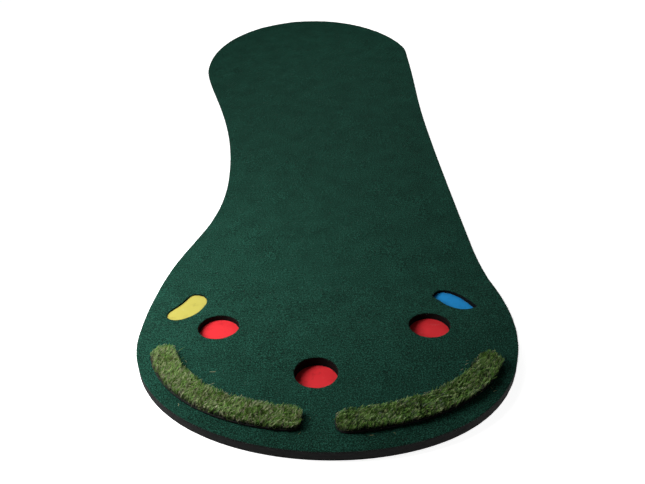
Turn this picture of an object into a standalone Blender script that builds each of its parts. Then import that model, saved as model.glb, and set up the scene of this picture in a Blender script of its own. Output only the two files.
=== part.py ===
"""Practice putting mat: a kidney-shaped felt green that climbs a foam ramp to three cups.

Metres, +Z up. The origin is on the ground under the middle of the mat's box, the cup end
lies towards -Y and the tee end, where the player stands, towards +Y.
From the ground up: non-slip backing, foam, felt turf, then two strips of long grass that
are held to the felt by hook dots. The cup, sand and water floors are bonded to the backing.
"""

import math

import bmesh
import bpy
import numpy as np
from mathutils import Vector
from mathutils.geometry import interpolate_bezier

# Overall size
MAT_LENGTH = 2.743
MAT_WIDTH = 0.914

# Layers
BACKING_THICKNESS = 0.0010
UNDERLAY_THICKNESS = 0.0012
WEDGE_THICKNESS = 0.0222
TURF_THICKNESS = 0.0035
FLOOR_THICKNESS = 0.0005
LAYER_GAP = 0.0003
SIDE_CLEARANCE = 0.0003

# Ramp, measured from the cup end
PLATEAU_LENGTH = 0.3635
RAMP_LENGTH = 0.220

# Turning points of the mat's edge: y from the cup or the tee end, x in from the widest line
CUP_TIP_X = 0.033
CUP_HIP_RIGHT = 0.403
CUP_HIP_LEFT = 0.391
SHOULDER_FROM_CUP_END = 0.746
SHOULDER_INSET = 0.038
SHOULDER_LEAN = 2.5
WAIST_FROM_CUP_END = 1.189
WAIST_INSET = 0.159
TEE_HIP_RIGHT = 0.458
TEE_HIP_RIGHT_INSET = 0.056
TEE_HIP_LEFT = 0.563
TEE_TIP_X = -0.039

# Cups: x in from the side or from the middle, y from the cup end
CUP_DIAMETER = 0.1016
FRONT_CUP_X = -0.027
FRONT_CUP_FROM_END = 0.2365
LEFT_CUP_FROM_SIDE = 0.1925
LEFT_CUP_FROM_END = 0.4185
RIGHT_CUP_FROM_SIDE = 0.205
RIGHT_CUP_FROM_END = 0.3905

# Sand and water inlays: the middle of each cut-out
SAND_FROM_SIDE = 0.103
SAND_FROM_END = 0.5165
SAND_POCKET_DEPTH = 0.0016
WATER_FROM_SIDE = 0.1275
WATER_FROM_END = 0.4985

# Long-grass strips: insets from the mat's edge to the strip's middle line, inner end to outer end
STRIP_WIDTH = 0.060
STRIP_END_SQUARENESS = 2.5
STRIP_BACKING_THICKNESS = 0.0037
PILE_HEIGHT = 0.018
LEFT_STRIP_START_X = -0.088
LEFT_STRIP_TO_RAMP = 0.059
LEFT_STRIP_INSETS = (0.075, 0.064, 0.060)
RIGHT_STRIP_START_X = 0.039
RIGHT_STRIP_TO_RAMP = 0.128
RIGHT_STRIP_INSETS = (0.075, 0.077, 0.060)
HOOK_DOT_DIAMETER = 0.022
HOOK_DOT_THICKNESS = 0.0014
HOOK_DOT_PLACES = (0.12, 0.5, 0.88)

# Mesh resolution
EDGE_STEPS = 18
INLAY_STEPS = 8
STRIP_STATIONS = 14
STRIP_END_STEPS = 7
CUP_SEGMENTS = 64
DOT_SEGMENTS = 24
CUTTER_OVERSHOOT = 0.02

# Levels worked out from the layers
CUP_END_Y = -MAT_LENGTH / 2
TEE_END_Y = MAT_LENGTH / 2
SIDE_X = MAT_WIDTH / 2
RAMP_TOP_Y = CUP_END_Y + PLATEAU_LENGTH
RAMP_FOOT_Y = RAMP_TOP_Y + RAMP_LENGTH
FOAM_BOTTOM = BACKING_THICKNESS + LAYER_GAP
PLATEAU_FOAM_TOP = FOAM_BOTTOM + WEDGE_THICKNESS
RUNWAY_FOAM_TOP = FOAM_BOTTOM + UNDERLAY_THICKNESS
PLATEAU_TOP = PLATEAU_FOAM_TOP + LAYER_GAP + TURF_THICKNESS
DOT_BOTTOM = PLATEAU_TOP + LAYER_GAP
STRIP_BACKING_BOTTOM = DOT_BOTTOM + HOOK_DOT_THICKNESS + LAYER_GAP
PILE_BOTTOM = STRIP_BACKING_BOTTOM + STRIP_BACKING_THICKNESS + LAYER_GAP


def clear_scene():
    for existing in list(bpy.data.objects):
        bpy.data.objects.remove(existing, do_unlink=True)


def new_collection(name):
    collection = bpy.data.collections.new(name)
    bpy.context.scene.collection.children.link(collection)
    return collection


def material(name, colour, roughness, metallic=0.0):
    made = bpy.data.materials.new(name)
    made.use_nodes = True
    shader = made.node_tree.nodes["Principled BSDF"]
    shader.inputs["Base Color"].default_value = (*colour, 1.0)
    shader.inputs["Roughness"].default_value = roughness
    shader.inputs["Metallic"].default_value = metallic
    return made


# Outlines

def anchor(x, y, heading, ease_before, ease_after, turn=0.0):
    """One point of a smooth outline: where it is, which way the edge runs there, in degrees,
    and how far the edge keeps that heading, as shares of the way to each neighbour."""
    return {
        "at": Vector((x, y, 0.0)),
        "before": math.radians(heading),
        "after": math.radians(heading + turn),
        "ease_before": ease_before,
        "ease_after": ease_after,
    }


def loop_through(anchors, steps):
    """The closed outline through the anchors, as an array of points in the plane."""
    points = []
    for start, end in zip(anchors, anchors[1:] + anchors[:1]):
        span = (end["at"] - start["at"]).length
        leave = Vector((math.cos(start["after"]), math.sin(start["after"]), 0.0))
        arrive = Vector((math.cos(end["before"]), math.sin(end["before"]), 0.0))
        leave_handle = start["at"] + leave * span * start["ease_after"]
        arrive_handle = end["at"] - arrive * span * end["ease_before"]
        stretch = interpolate_bezier(start["at"], leave_handle, arrive_handle, end["at"], steps + 1)
        points += [(point.x, point.y) for point in stretch[:-1]]
    return np.array(points)


def inward_normals(loop):
    """Unit normals that point into a loop that runs anticlockwise."""
    along = np.roll(loop, -1, axis=0) - np.roll(loop, 1, axis=0)
    along /= np.linalg.norm(along, axis=1, keepdims=True)
    return np.stack([-along[:, 1], along[:, 0]], axis=1)


def inset(loop, distance):
    """The outline a little way inside another."""
    return loop + inward_normals(loop) * distance


def mat_outline():
    """The mat's edge from its tip at the cup end, anticlockwise as seen from above."""
    return loop_through(
        [
            anchor(CUP_TIP_X, CUP_END_Y, 0, 0.36, 0.18),
            anchor(SIDE_X, CUP_END_Y + CUP_HIP_RIGHT, 90, 0.64, 0.41),
            anchor(
                SIDE_X - SHOULDER_INSET,
                CUP_END_Y + SHOULDER_FROM_CUP_END,
                90 + SHOULDER_LEAN,
                0.49,
                0.75,
            ),
            anchor(SIDE_X - TEE_HIP_RIGHT_INSET, TEE_END_Y - TEE_HIP_RIGHT, 90, 0.425, 0.19),
            anchor(TEE_TIP_X, TEE_END_Y, 180, 0.46, 0.27),
            anchor(-SIDE_X, TEE_END_Y - TEE_HIP_LEFT, 270, 0.545, 0.195),
            anchor(-SIDE_X + WAIST_INSET, CUP_END_Y + WAIST_FROM_CUP_END, 270, 0.47, 0.47),
            anchor(-SIDE_X, CUP_END_Y + CUP_HIP_LEFT, 270, 0.525, 0.42),
        ],
        EDGE_STEPS,
    )


def sand_outline():
    """A kidney-shaped bunker, hollow on the side that faces the mat's left edge."""
    x = -SIDE_X + SAND_FROM_SIDE
    y = CUP_END_Y + SAND_FROM_END
    return loop_through(
        [
            anchor(x - 0.022, y - 0.060, 0, 0.40, 0.30),
            anchor(x + 0.026, y - 0.033, 52, 0.32, 0.30),
            anchor(x + 0.048, y + 0.025, 90, 0.34, 0.40),
            anchor(x + 0.013, y + 0.060, 180, 0.42, 0.28),
            anchor(x - 0.014, y + 0.023, 242, 0.40, 0.40),
            anchor(x - 0.048, y - 0.035, 268, 0.34, 0.36),
        ],
        INLAY_STEPS,
    )


def water_outline():
    """A leaf-shaped pond with a point at each end."""
    x = SIDE_X - WATER_FROM_SIDE
    y = CUP_END_Y + WATER_FROM_END
    return loop_through(
        [
            anchor(x - 0.053, y + 0.021, 241, 0.30, 0.35, turn=62),
            anchor(x + 0.021, y - 0.047, 0, 0.38, 0.38),
            anchor(x + 0.053, y - 0.036, 34, 0.35, 0.28, turn=78),
            anchor(x - 0.025, y + 0.047, 180, 0.32, 0.38),
        ],
        INLAY_STEPS,
    )


def strip_middle_line(edge, side, start_x, to_ramp, insets):
    """The middle line of a grass strip: it follows the mat's edge, an inset away from it, from
    near the tip of the cup end round to a set distance before the ramp."""
    inward = inward_normals(edge)
    if side < 0:
        edge = np.roll(edge[::-1], 1, axis=0)
        inward = np.roll(inward[::-1], 1, axis=0)
    tip_to_hip = EDGE_STEPS + 1
    half_way = len(edge) // 2
    stations = np.arange(half_way)
    inner_line = (edge + inward * insets[0])[:tip_to_hip]
    outer_line = (edge + inward * insets[-1])[:half_way]
    start = np.interp(side * start_x, side * inner_line[:, 0], stations[:tip_to_hip])
    end = np.interp(RAMP_TOP_Y - to_ramp, outer_line[:, 1], stations)
    shares = np.linspace(0, 1, STRIP_STATIONS)
    inset = np.polyval(np.polyfit((0, 0.5, 1), insets, 2), shares)
    line = np.empty((STRIP_STATIONS, 2))
    for axis in range(2):
        on_edge = np.interp(start + (end - start) * shares, stations, edge[:half_way, axis])
        lean = np.interp(start + (end - start) * shares, stations, inward[:half_way, axis])
        line[:, axis] = on_edge + lean * inset
    return line


def band_outline(middle, width):
    """A band of constant width along a middle line, with a rounded end each way, a little
    squarer than a half circle."""
    along = np.gradient(middle, axis=0)
    along /= np.linalg.norm(along, axis=1, keepdims=True)
    across = np.stack([-along[:, 1], along[:, 0]], axis=1)
    half = width / 2
    turns = np.linspace(-math.pi / 2, math.pi / 2, STRIP_END_STEPS + 1)[1:-1, None]
    power = 2 / STRIP_END_SQUARENESS
    ahead = np.cos(turns) ** power
    aside = np.sign(np.sin(turns)) * np.abs(np.sin(turns)) ** power
    end_round = middle[-1] + half * (ahead * along[-1] + aside * across[-1])
    start_round = middle[0] - half * (ahead * along[0] + aside * across[0])
    right_side = middle - across * half
    left_side = (middle + across * half)[::-1]
    return np.vstack([right_side, end_round, left_side, start_round])


# Solids

def extruded(name, loop, thickness, location, rotation, finish, collection):
    """A flat outline given a thickness, as one welded mesh."""
    curve = bpy.data.curves.new(name, "CURVE")
    curve.dimensions = "2D"
    curve.fill_mode = "BOTH"
    curve.extrude = thickness / 2
    spline = curve.splines.new("POLY")
    spline.points.add(len(loop) - 1)
    for point, (x, y) in zip(spline.points, loop):
        point.co = (x, y, 0.0, 1.0)
    spline.use_cyclic_u = True
    guide = bpy.data.objects.new(name + "_curve", curve)
    guide.location = location
    guide.rotation_euler = rotation
    collection.objects.link(guide)
    bpy.context.view_layer.update()
    evaluated = guide.evaluated_get(bpy.context.evaluated_depsgraph_get())
    mesh = bpy.data.meshes.new_from_object(evaluated)
    weld(mesh)
    made = bpy.data.objects.new(name, mesh)
    made.matrix_world = guide.matrix_world
    bpy.data.objects.remove(guide, do_unlink=True)
    mesh.materials.clear()
    if finish:
        mesh.materials.append(finish)
    collection.objects.link(made)
    return made


def weld(mesh):
    shape = bmesh.new()
    shape.from_mesh(mesh)
    bmesh.ops.remove_doubles(shape, verts=shape.verts, dist=0.00001)
    bmesh.ops.recalc_face_normals(shape, faces=shape.faces)
    shape.to_mesh(mesh)
    shape.free()


def flat_solid(name, loop, low, thickness, finish, collection):
    """A level sheet: an outline seen from above, its underside's height and its thickness."""
    middle = (0.0, 0.0, low + thickness / 2)
    return extruded(name, loop, thickness, middle, (0.0, 0.0, 0.0), finish, collection)


def disc(name, centre, diameter, segments, low, thickness, finish, collection):
    shape = bmesh.new()
    bmesh.ops.create_cone(
        shape,
        cap_ends=True,
        segments=segments,
        radius1=diameter / 2,
        radius2=diameter / 2,
        depth=thickness,
    )
    mesh = bpy.data.meshes.new(name)
    shape.to_mesh(mesh)
    shape.free()
    made = bpy.data.objects.new(name, mesh)
    made.location = (*centre, low + thickness / 2)
    if finish:
        mesh.materials.append(finish)
    collection.objects.link(made)
    return made


def as_cutter(cutter):
    cutter.hide_render = True
    cutter.display_type = "WIRE"
    return cutter


def side_profile(name, profile, collection):
    """A slab across the mat with the given outline in the upright plane along its length."""
    upright = (math.pi / 2, 0.0, math.pi / 2)
    width = MAT_WIDTH + 2 * CUTTER_OVERSHOOT
    slab = extruded(name, profile, width, (0.0, 0.0, 0.0), upright, None, collection)
    return as_cutter(slab)


def boolean(target, operation, cutter=None, cutters=None):
    cut = target.modifiers.new(operation.lower(), "BOOLEAN")
    cut.operation = operation
    cut.solver = "EXACT"
    if cutter:
        cut.object = cutter
    else:
        cut.operand_type = "COLLECTION"
        cut.collection = cutters


def shaped_layer(name, outline, profile, finish, parts, cutters):
    """A layer with one outline as seen from above and another as seen from the side."""
    height = PLATEAU_TOP + 3 * CUTTER_OVERSHOOT
    layer = flat_solid(name, outline, -CUTTER_OVERSHOOT, height, finish, parts)
    slab = side_profile(name + "_profile", profile, cutters)
    boolean(layer, "INTERSECT", cutter=slab)
    return layer


def foam_levels(rise):
    """Heights over the plateau and the runway, a given rise above the foam's top."""
    return (PLATEAU_FOAM_TOP + rise, RUNWAY_FOAM_TOP + rise)


def raised_profile(lower, upper):
    """A profile over plateau, ramp and runway, between two pairs of levels."""
    front = CUP_END_Y - CUTTER_OVERSHOOT
    back = TEE_END_Y + CUTTER_OVERSHOOT
    return [
        (front, lower[0]),
        (RAMP_TOP_Y, lower[0]),
        (RAMP_FOOT_Y, lower[1]),
        (back, lower[1]),
        (back, upper[1]),
        (RAMP_FOOT_Y, upper[1]),
        (RAMP_TOP_Y, upper[0]),
        (front, upper[0]),
    ]


# Sub-parts

def make_cut_outs(cutters, cup_centres):
    """What is cut right through foam and felt: the cups and the pond."""
    cut_outs = bpy.data.collections.new("cut_outs")
    cutters.children.link(cut_outs)
    low = -CUTTER_OVERSHOOT
    height = PLATEAU_TOP + 2 * CUTTER_OVERSHOOT
    for place, centre in cup_centres.items():
        name = place + "_cup_cutter"
        as_cutter(disc(name, centre, CUP_DIAMETER, CUP_SEGMENTS, low, height, None, cut_outs))
    as_cutter(flat_solid("water_cutter", water_outline(), low, height, None, cut_outs))
    return cut_outs


def make_sand_cutter(cutters):
    """The bunker: right through the felt, and a shallow pocket that follows the foam's slope."""
    bottom = foam_levels(-SAND_POCKET_DEPTH)
    above = (PLATEAU_TOP + CUTTER_OVERSHOOT, PLATEAU_TOP + CUTTER_OVERSHOOT)
    profile = raised_profile(bottom, above)
    return as_cutter(
        shaped_layer("sand_cutter", sand_outline(), profile, None, cutters, cutters)
    )


def make_backing(edge, parts):
    rubber = material("nonslip_foam_rubber", (0.045, 0.045, 0.045), 0.9)
    flat_solid("nonslip_backing", edge, 0.0, BACKING_THICKNESS, rubber, parts)


def make_foam(edge, parts, cutters, cut_outs, sand_cutter):
    """The wedge under plateau and ramp, and the thin underlay that meets its foot."""
    foam = material("black_foam", (0.022, 0.022, 0.022), 0.85)
    wedge_profile = [
        (CUP_END_Y - CUTTER_OVERSHOOT, FOAM_BOTTOM),
        (RAMP_FOOT_Y, FOAM_BOTTOM),
        (RAMP_FOOT_Y, RUNWAY_FOAM_TOP),
        (RAMP_TOP_Y, PLATEAU_FOAM_TOP),
        (CUP_END_Y - CUTTER_OVERSHOOT, PLATEAU_FOAM_TOP),
    ]
    underlay_profile = [
        (RAMP_FOOT_Y + LAYER_GAP, FOAM_BOTTOM),
        (TEE_END_Y + CUTTER_OVERSHOOT, FOAM_BOTTOM),
        (TEE_END_Y + CUTTER_OVERSHOOT, RUNWAY_FOAM_TOP),
        (RAMP_FOOT_Y + LAYER_GAP, RUNWAY_FOAM_TOP),
    ]
    for name, profile in (("foam_wedge", wedge_profile), ("foam_underlay", underlay_profile)):
        layer = shaped_layer(name, edge, profile, foam, parts, cutters)
        boolean(layer, "DIFFERENCE", cutters=cut_outs)
        boolean(layer, "DIFFERENCE", cutter=sand_cutter)


def make_turf(edge, parts, cutters, cut_outs, sand_cutter):
    felt = material("green_felt", (0.010, 0.055, 0.036), 0.95)
    profile = raised_profile(foam_levels(LAYER_GAP), foam_levels(LAYER_GAP + TURF_THICKNESS))
    layer = shaped_layer("turf_sheet", edge, profile, felt, parts, cutters)
    boolean(layer, "DIFFERENCE", cutters=cut_outs)
    boolean(layer, "DIFFERENCE", cutter=sand_cutter)


def make_floors(parts, cutters, cup_centres):
    """Coloured floors: cups and pond lie on the backing, sand lies in its pocket in the foam."""
    red = material("red_floor", (0.60, 0.025, 0.035), 0.5)
    yellow = material("yellow_floor", (0.80, 0.72, 0.16), 0.6)
    blue = material("blue_floor", (0.02, 0.22, 0.55), 0.5)
    across = CUP_DIAMETER - 2 * SIDE_CLEARANCE
    for place, centre in cup_centres.items():
        name = place + "_cup_floor"
        disc(name, centre, across, CUP_SEGMENTS, FOAM_BOTTOM, FLOOR_THICKNESS, red, parts)
    pond = inset(water_outline(), SIDE_CLEARANCE)
    flat_solid("water_floor", pond, FOAM_BOTTOM, FLOOR_THICKNESS, blue, parts)
    on_pocket = LAYER_GAP - SAND_POCKET_DEPTH
    profile = raised_profile(foam_levels(on_pocket), foam_levels(on_pocket + FLOOR_THICKNESS))
    bunker = inset(sand_outline(), SIDE_CLEARANCE)
    shaped_layer("sand_floor", bunker, profile, yellow, parts, cutters)


def make_strip(side_name, middle, parts):
    """One long-grass strip, which lifts off: pile, its backing and the hook dots under it."""
    grass = material(side_name + "_grass", (0.16, 0.26, 0.06), 0.8)
    backing = material(side_name + "_strip_backing", (0.015, 0.015, 0.015), 0.85)
    hooks = material(side_name + "_hook_nylon", (0.02, 0.02, 0.02), 0.6)
    band = band_outline(middle, STRIP_WIDTH)
    name = side_name + "_rough"
    pieces = [
        flat_solid(name + "_pile", band, PILE_BOTTOM, PILE_HEIGHT, grass, parts),
        flat_solid(
            name + "_backing",
            band,
            STRIP_BACKING_BOTTOM,
            STRIP_BACKING_THICKNESS,
            backing,
            parts,
        ),
    ]
    shares = np.linspace(0, 1, len(middle))
    for number, place in enumerate(HOOK_DOT_PLACES, start=1):
        centre = [np.interp(place, shares, middle[:, axis]) for axis in range(2)]
        dot = disc(
            f"{name}_hook_dot_{number}",
            centre,
            HOOK_DOT_DIAMETER,
            DOT_SEGMENTS,
            DOT_BOTTOM,
            HOOK_DOT_THICKNESS,
            hooks,
            parts,
        )
        pieces.append(dot)
    lift = bpy.data.objects.new(name + "_lift", None)
    lift.location = (*middle[len(middle) // 2], DOT_BOTTOM)
    parts.objects.link(lift)
    bpy.context.view_layer.update()
    for piece in pieces:
        piece.parent = lift
        piece.matrix_parent_inverse = lift.matrix_world.inverted()


def main():
    clear_scene()
    parts = new_collection("practice_putting_mat")
    cutters = new_collection("cutters")
    cup_centres = {
        "front": (FRONT_CUP_X, CUP_END_Y + FRONT_CUP_FROM_END),
        "left": (-SIDE_X + LEFT_CUP_FROM_SIDE, CUP_END_Y + LEFT_CUP_FROM_END),
        "right": (SIDE_X - RIGHT_CUP_FROM_SIDE, CUP_END_Y + RIGHT_CUP_FROM_END),
    }
    edge = mat_outline()
    cut_outs = make_cut_outs(cutters, cup_centres)
    make_backing(edge, parts)
    sand_cutter = make_sand_cutter(cutters)
    make_foam(edge, parts, cutters, cut_outs, sand_cutter)
    make_turf(edge, parts, cutters, cut_outs, sand_cutter)
    make_floors(parts, cutters, cup_centres)
    left = strip_middle_line(
        edge, -1, LEFT_STRIP_START_X, LEFT_STRIP_TO_RAMP, LEFT_STRIP_INSETS
    )
    right = strip_middle_line(
        edge, 1, RIGHT_STRIP_START_X, RIGHT_STRIP_TO_RAMP, RIGHT_STRIP_INSETS
    )
    make_strip("left", left, parts)
    make_strip("right", right, parts)


main()
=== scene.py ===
"""Practice putting mat: the looks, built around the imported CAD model."""

import math

import bmesh
import bpy
import numpy as np
from bpy.props import FloatProperty, FloatVectorProperty, IntProperty, PointerProperty
from mathutils import Matrix, Vector
from mathutils.geometry import delaunay_2d_cdt
from mathutils.kdtree import KDTree


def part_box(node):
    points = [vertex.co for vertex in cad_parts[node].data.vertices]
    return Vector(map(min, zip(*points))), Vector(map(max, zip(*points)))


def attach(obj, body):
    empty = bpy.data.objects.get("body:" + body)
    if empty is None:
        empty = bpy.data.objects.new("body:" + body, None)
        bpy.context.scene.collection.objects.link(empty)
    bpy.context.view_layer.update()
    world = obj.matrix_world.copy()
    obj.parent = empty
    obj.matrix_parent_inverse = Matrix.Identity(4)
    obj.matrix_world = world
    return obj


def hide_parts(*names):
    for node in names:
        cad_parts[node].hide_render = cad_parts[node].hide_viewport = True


bl_info = {
    "name": "Practice putting mat",
    "version": (1, 0, 0),
    "blender": (4, 5, 0),
    "location": "View3D > Sidebar > Putting mat",
    "description": "Builds a felt putting green with a foam ramp, cups, inlays and strips of long grass",
    "category": "Add Mesh",
}

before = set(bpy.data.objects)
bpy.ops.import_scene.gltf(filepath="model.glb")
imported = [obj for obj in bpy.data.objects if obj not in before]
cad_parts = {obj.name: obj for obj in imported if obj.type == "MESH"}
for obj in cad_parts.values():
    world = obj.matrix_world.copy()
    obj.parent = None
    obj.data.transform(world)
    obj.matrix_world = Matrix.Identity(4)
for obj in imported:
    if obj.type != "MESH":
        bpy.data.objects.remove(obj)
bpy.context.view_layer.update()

SIDES = ("left", "right")
CUPS = ("front", "left", "right")
FELT_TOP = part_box("turf_sheet")[1][2]
TURN = 2 * math.pi
WAVE_UNIT = math.pi / 10  # makes the scale of a Wave texture count bands, as the other textures' scales do
MULTIPLY = {"data_type": "RGBA", "blend_type": "MULTIPLY"}
COARSE = 1
SPARSE = 1

FELT_WAVES = (11, 0.022, 0.160)  # seed, shortest and longest wave of the felt's unevenness
EDGE_FIBRE = 0.00022  # widths of one fibre or yarn
NAP_FIBRE = 0.00026
THATCH_YARN = 0.00085
THATCH_SHARE = {"left": 1.12, "right": 0.85}  # how thick each strip's thatch is
PAINTED_LIGHT_SHIFT = {"left": 0.13, "right": -0.12}  # painted light: how far each strip's yarn is shifted towards its pale end, paler for the strip nearer the key light and darker for the other
CLIPPINGS = 12  # the most shed blades beside one strip
LARGEST = (-0.262, -1.119, 0.016, 0.05)  # the largest shed blade: its middle, length and heading
PLATE_SHARE = 0.4  # the part of a hook pad's height that is its plate
HOOK_PITCH = 0.0018
HOOK_DEPTH = 0.95  # how far the hook pattern hangs, with a little to spare

CAMERA_PLACE = (0, -2.4889, 1.286)
CAMERA_PITCH = math.radians(33.74)  # downwards
CAMERA_ROLL = math.radians(-2.4)
SENSOR_WIDTH = 36
FOCAL_LENGTH = 44.863


def linear(code):
    """An sRGB hex colour as linear red, green, blue and an alpha of 1."""
    parts = [int(code[k : k + 2], 16) / 255 for k in (1, 3, 5)]
    return tuple(c / 12.92 if c <= 0.04045 else ((c + 0.055) / 1.055) ** 2.4 for c in parts) + (1.0,)


def colour(name, description, code):
    """A colour property with its default given as sRGB hex."""
    return FloatVectorProperty(
        name=name, description=description, default=linear(code), size=4, min=0, max=1, subtype="COLOR"
    )


def length(name, description, millimetres):
    """A length property with its default given in millimetres."""
    size = millimetres / 1000
    return FloatProperty(
        name=name, description=description, default=size, min=0, subtype="DISTANCE", unit="LENGTH"
    )


def amount(name, description, default):
    """A plain number, zero or more."""
    return FloatProperty(name=name, description=description, default=default, min=0)


def power(name, description, watts):
    """The power of a light."""
    return FloatProperty(name=name, description=description, default=watts, subtype="POWER")


def count_of(name, description, default, least=0):
    """A whole number of like things."""
    return IntProperty(name=name, description=description, default=default, min=least)


# Settings that a user would change


class FeltSettings(bpy.types.PropertyGroup):
    pitch: length("Mesh pitch", "Distance between the points that carry the felt's unevenness", 6.0)
    cockle: length("Cockle", "Height of the gentle unevenness of felt that was stored rolled up", 0.35)
    fleck: length("Fleck", "Size of the clumps of lighter and darker fibre", 3.0)
    ground: colour("Ground", "Bottle green of most of the fibres", "#163E31")
    light_fleck: colour("Light fleck", "Paler teal fibres needled in with the rest", "#2D6756")
    dark_fleck: colour("Dark fleck", "Near-black green fibres needled in with the rest", "#061913")
    # Painted shade as well: this black on the cut edge also stands in for the shadow on the cut walls.
    latex: colour("Latex precoat", "Black latex along the lower half of the cut edge", "#0E0F0E")
    edge_fibres: count_of("Edge fibres", "Cut fibres along all edges", 4200)
    nap_fibres: count_of("Nap fibres", "Loose fibres over the top", 9000)


class FoamSettings(bpy.types.PropertyGroup):
    tint: colour("Foam", "Charcoal of the cross-linked foam core", "#070707")
    skin: colour("Dust", "Paler dust that sits in cut cells", "#121212")
    rubber: colour("Backing", "Grey-black of the foamed rubber backing", "#2E2E2E")
    cell: length("Cell", "Width of the foam's cells, drawn coarse enough to show", 1.3)
    knife: length("Knife marks", "How far the knife wandered along the cut faces", 0.35)


class FloorSettings(bpy.types.PropertyGroup):
    red: colour("Cup red", "Dyed felt in the bottom of each cup", "#F6323A")
    yellow: colour("Sand yellow", "Dyed felt of the sand inlay", "#CCC25B")
    blue: colour("Water blue", "Dyed felt of the water inlay", "#21A0ED")
    pitch: length("Mesh pitch", "Distance between the points of a floor's surface", 2.5)


class GrassSettings(bpy.types.PropertyGroup):
    tuft_pitch: length("Tuft pitch", "Distance between neighbouring tufts", 2.9)
    blades: count_of("Blades in a tuft", "Blades from one needle hole", 2, least=1)
    blade_width: length("Blade width", "Width of one blade at its root", 1.75)
    blade_lean: amount("Lean", "Sideways lean over height", 0.42)
    curls: count_of("Curls", "Curled thatch yarns in each strip", 2400)
    deep: colour("Deep green", "Darkest blades", "#1F3A12")
    fresh: colour("Fresh green", "Most of the blades", "#92CC58")
    lime: colour("Yellow green", "Palest blades", "#E6F4AE")
    straw: colour("Straw", "Curled thatch", "#E2E0BC")
    bark: colour("Bark", "Darker thatch", "#86834F")
    latex: colour("Backing", "Black latex-coated cloth", "#141414")


class StudioSettings(bpy.types.PropertyGroup):
    key: power("Key light", "Power of the soft light at the left", 19.0)
    back: power("Back light", "Power of the soft light at the tee end", 10.0)
    fill: amount("Fill", "Strength of the even light all round", 0.05)
    glow: amount("Sweep glow", "Light that comes through the paper sweep", 0.92)
    sweep: colour("Sweep", "Pale floor", "#F4F4F2")


SETTINGS = {
    "green_felt": FeltSettings,
    "green_foam": FoamSettings,
    "green_floors": FloorSettings,
    "green_grass": GrassSettings,
    "green_studio": StudioSettings,
}


# Outlines read from the CAD model


def shoelace(ring):
    """The area inside a ring, above zero where it runs anticlockwise."""
    x, y = ring[:, 0], ring[:, 1]
    return float((x * np.roll(y, -1) - y * np.roll(x, -1)).sum() / 2)


def rims(node, up=True):
    """The rings where a CAD node's upper (or lower) face meets its walls, the largest first."""
    facing = 1 if up else -1
    shape = bmesh.new()
    shape.from_mesh(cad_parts[node].data)
    bmesh.ops.remove_doubles(shape, verts=shape.verts, dist=1e-6)
    shape.normal_update()
    level = {f for f in shape.faces if f.normal.z * facing > 0.3}
    wall = {f for f in shape.faces if abs(f.normal.z) < 0.3}
    todo = dict.fromkeys(e for e in shape.edges if level & {*e.link_faces} and wall & {*e.link_faces})
    rings = []
    while todo:
        edge = next(iter(todo))
        del todo[edge]
        start, end = edge.verts
        ring = [start]
        while end is not start:
            ring.append(end)
            edge = next(e for e in end.link_edges if e in todo)
            del todo[edge]
            end = edge.other_vert(end)
        rings.append(np.array([v.co[:] for v in ring]))
    shape.free()
    return sorted(rings, key=lambda ring: -abs(shoelace(ring)))


def level_along(ring):
    """Height as a function of y, from a ring that follows the ramp."""
    order = np.argsort(ring[:, 1])
    return lambda y: np.interp(y, ring[order, 1], ring[order, 2])


def evenly(ring, pitch):
    """A ring's plan, walked in even steps."""
    closed = np.vstack([ring, ring[:1]])[:, :2]
    steps = np.linalg.norm(np.diff(closed, axis=0), axis=1)
    along = np.concatenate([[0], np.cumsum(steps)])
    count = max(12, round(along[-1] / pitch))
    at = np.arange(count) * along[-1] / count
    return np.stack([np.interp(at, along, closed[:, k]) for k in (0, 1)], axis=1)


def eased(ring, passes):
    """A ring with its slight facets smoothed away and its real corners kept."""
    for _ in range(passes):
        into = ring - np.roll(ring, 1, axis=0)
        out = np.roll(ring, -1, axis=0) - ring
        bend = (into * out).sum(1) / (np.linalg.norm(into, axis=1) * np.linalg.norm(out, axis=1))
        ring = np.where((bend > 0.8)[:, None], ring + (out - into) / 4, ring)
    return ring


def wound(ring, outer=True):
    """A ring turned so that its material is on its left: anticlockwise outside, clockwise round a hole."""
    return ring if (shoelace(ring) > 0) == outer else ring[::-1]


def inward(ring):
    """The unit direction to the left of a ring's travel, which is where the material is."""
    travel = np.roll(ring, -1, axis=0) - np.roll(ring, 1, axis=0)
    travel /= np.linalg.norm(travel, axis=1)[:, None]
    return np.stack([-travel[:, 1], travel[:, 0]], axis=1)


def inside(points, rings):
    """Which points lie inside an odd number of the rings."""
    odd = np.zeros(len(points), bool)
    x, y = points[:, 0], points[:, 1]
    for ring in rings:
        for (ax, ay), (bx, by) in zip(ring, np.roll(ring, -1, axis=0)):
            if ay != by:
                odd ^= ((ay > y) != (by > y)) & (x < ax + (y - ay) * (bx - ax) / (by - ay))
    return odd


def near(points, others, reach):
    """Which points have one of the others within reach."""
    tree = KDTree(len(others))
    for index, (x, y) in enumerate(others):
        tree.insert((x, y, 0), index)
    tree.balance()
    return np.array([(tree.find((x, y, 0))[2] or 0) < reach for x, y in points], bool)


def spread(rings, pitch, seed, clear):
    """Points about a pitch apart all over the space inside the rings, clear of their edges."""
    draw = np.random.default_rng(seed)
    edge = np.vstack(rings)
    low, high = edge.min(0), edge.max(0)
    row = pitch * math.sqrt(3) / 2
    x, y = np.meshgrid(np.arange(low[0], high[0], pitch), np.arange(low[1], high[1], row))
    x[1::2] += pitch / 2
    points = np.stack([x.ravel(), y.ravel()], axis=1)
    points += draw.uniform(-0.14, 0.14, points.shape) * pitch
    points = points[inside(points, rings)]
    return points[~near(points, edge, clear)]


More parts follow.
